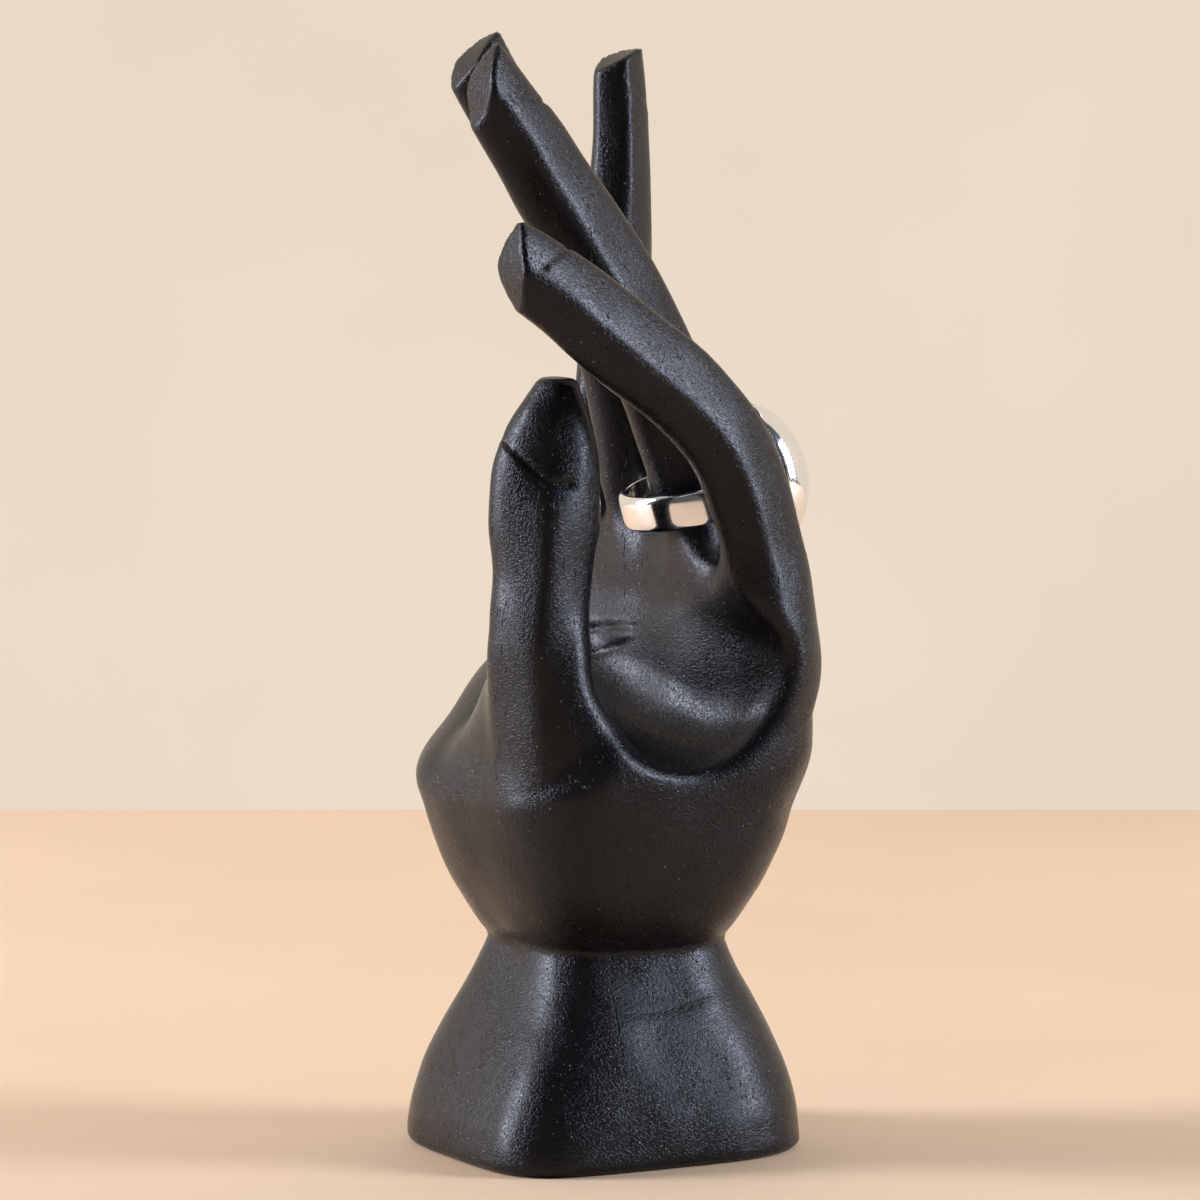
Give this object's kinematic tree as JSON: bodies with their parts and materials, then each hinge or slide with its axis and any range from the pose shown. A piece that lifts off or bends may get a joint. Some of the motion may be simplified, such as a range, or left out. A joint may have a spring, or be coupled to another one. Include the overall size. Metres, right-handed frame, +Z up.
{
  "type": "ring holder",
  "caption": "Carved black wooden hand on a flared cuff that holds rings on its upright fingers, with a silver dome ring on the middle finger.",
  "frame": {"origin": "middle of the flat underside of the cuff, on the surface that the holder stands on", "axes": "+Z up along the fingers, -X where the palm faces, -Y the thumb side"},
  "size_m": [0.0542, 0.0553, 0.15],
  "materials": {
    "black_wood": "black stained open-grained wood, satin",
    "silver": "polished silver"
  },
  "bodies": {
    "hand": {"carved_hand": "black_wood"},
    "ring": {"ring_shank": "silver", "ring_dome": "silver"}
  },
  "joints": [
    {"name": "ring_lift_off", "type": "hinge", "parent": "hand", "child": "ring", "pos_m": [-0.1049, -0.0078, 0.06045], "axis": [0, -1, 0], "range_deg": [0, 34]}
  ]
}
